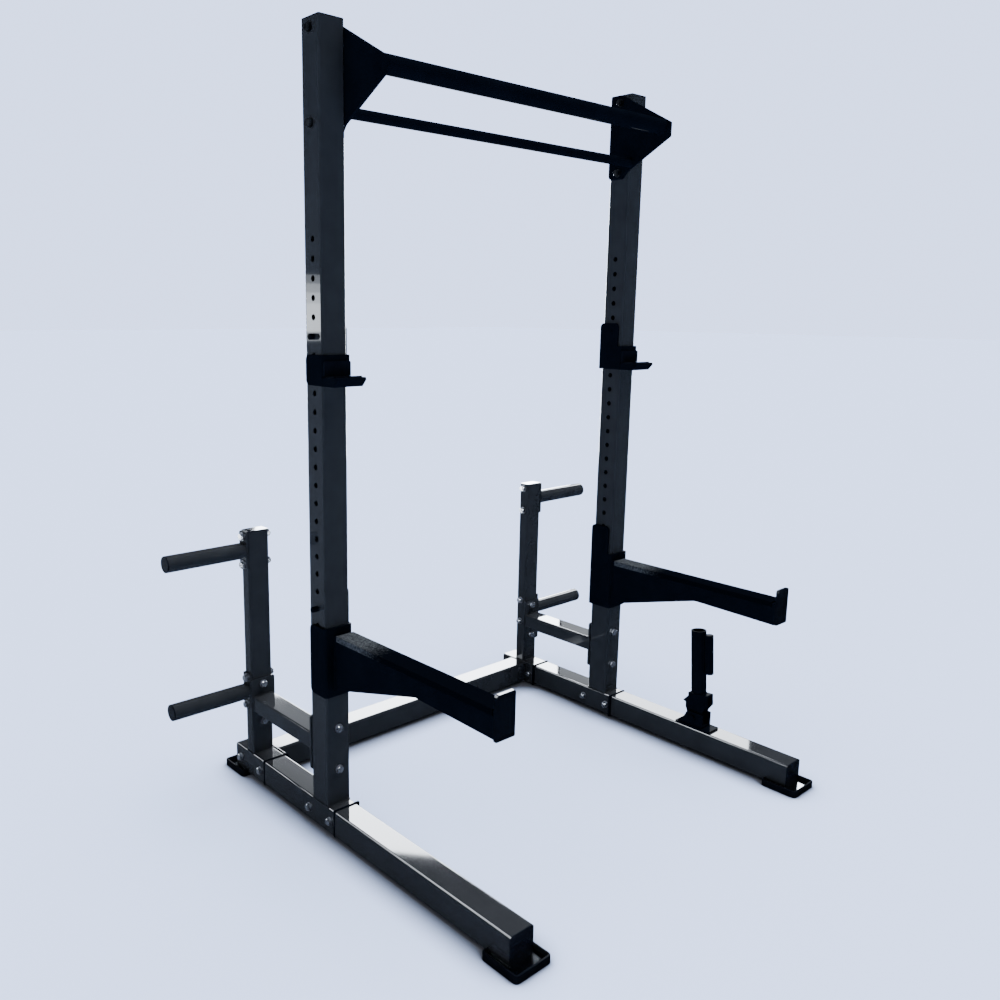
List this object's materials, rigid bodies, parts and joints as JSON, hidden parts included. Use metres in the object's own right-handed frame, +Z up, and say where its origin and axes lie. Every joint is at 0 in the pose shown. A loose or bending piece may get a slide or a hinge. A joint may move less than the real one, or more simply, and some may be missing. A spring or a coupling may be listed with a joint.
{
  "type": "half rack",
  "caption": "Half rack for barbell training: two drilled uprights, pull-up bars, plate pegs, bar cups, safety arms and a swivelling bar socket.",
  "frame": {"origin": "on the floor under the middle of the whole rack", "axes": "+X to the right of a user facing the rack, -Y towards the user at the front, +Z up"},
  "size_m": [1.772, 1.276, 2.108],
  "materials": {
    "graphite_coat": "satin powder coat, fine texture",
    "black_coat": "satin black powder coat",
    "black_plastic": "moulded, fine grain",
    "black_rubber": "moulded rubber, matt",
    "zinc_steel": "bright zinc plate"
  },
  "bodies": {
    "frame": {"rear_crossmember": "graphite_coat", "thick_pull_up_bar": "black_coat", "thin_pull_up_bar": "black_coat", "landmine_base": "black_coat", "landmine_stud_nut": "black_coat", "weight_pegs": "graphite_coat", "front_foot_tube_left": "graphite_coat", "front_foot_tube_right": "graphite_coat", "middle_base_tube_left": "graphite_coat", "middle_base_tube_right": "graphite_coat", "rear_stub_tubes": "graphite_coat", "upright_left": "graphite_coat", "upright_right": "graphite_coat", "storage_post_left": "graphite_coat", "storage_post_right": "graphite_coat", "brace_left": "graphite_coat", "brace_right": "graphite_coat", "gusset_left": "black_coat", "gusset_right": "black_coat", "base_end_caps": "black_plastic", "upright_caps": "black_plastic", "post_caps": "black_plastic", "front_sleeves": "graphite_coat", "rear_sleeves": "graphite_coat", "foot_boots": "black_rubber", "foot_plates": "zinc_steel", "brace_flanges": "graphite_coat", "peg_flanges": "graphite_coat", "peg_caps": "black_plastic", "frame_bolts": "zinc_steel", "frame_washers": "zinc_steel", "frame_nuts": "zinc_steel", "gusset_fasteners": "zinc_steel"},
    "cup_left": {"cup_bracket_left": "black_coat", "cup_pin_left": "black_coat", "cup_shelf_left": "black_coat", "cup_seat_left": "black_plastic", "cup_face_pad_left": "black_plastic"},
    "cup_right": {"cup_bracket_right": "black_coat", "cup_pin_right": "black_coat", "cup_shelf_right": "black_coat", "cup_seat_right": "black_plastic", "cup_face_pad_right": "black_plastic"},
    "arm_left": {"arm_bracket_left": "black_coat", "arm_pin_left": "black_coat", "arm_beam_left": "black_coat", "arm_strip_left": "black_plastic", "arm_end_plate_left": "black_coat"},
    "arm_right": {"arm_bracket_right": "black_coat", "arm_pin_right": "black_coat", "arm_beam_right": "black_coat", "arm_strip_right": "black_plastic", "arm_end_plate_right": "black_coat"},
    "landmine_swivel": {"landmine_channel": "black_coat", "landmine_pivot_bolt": "black_coat", "landmine_pivot_nut": "black_coat"},
    "landmine_tilt": {"landmine_bracket": "black_coat", "landmine_socket": "black_coat", "landmine_side_tube": "black_coat"}
  },
  "joints": [
    {"name": "cup_left_swing", "type": "hinge", "parent": "frame", "child": "cup_left", "pos_m": [-0.598, 0.1325, 1.3579], "axis": [-1, 0, 0], "range_deg": [0, 90]},
    {"name": "arm_left_swing", "type": "hinge", "parent": "frame", "child": "arm_left", "pos_m": [-0.598, 0.1325, 0.64362], "axis": [-1, 0, 0], "range_deg": [0, 75]},
    {"name": "cup_right_swing", "type": "hinge", "parent": "frame", "child": "cup_right", "pos_m": [0.598, 0.1325, 1.3579], "axis": [-1, 0, 0], "range_deg": [0, 90]},
    {"name": "arm_right_swing", "type": "hinge", "parent": "frame", "child": "arm_right", "pos_m": [0.598, 0.1325, 0.64362], "axis": [-1, 0, 0], "range_deg": [0, 75]},
    {"name": "landmine_turn", "type": "hinge", "parent": "frame", "child": "landmine_swivel", "pos_m": [0.592, -0.262, 0.092], "axis": [0, 0, 1], "continuous": true},
    {"name": "landmine_tip", "type": "hinge", "parent": "landmine_swivel", "child": "landmine_tilt", "pos_m": [0.592, -0.262, 0.116], "axis": [1, 0, 0], "range_deg": [-60, 60]}
  ]
}
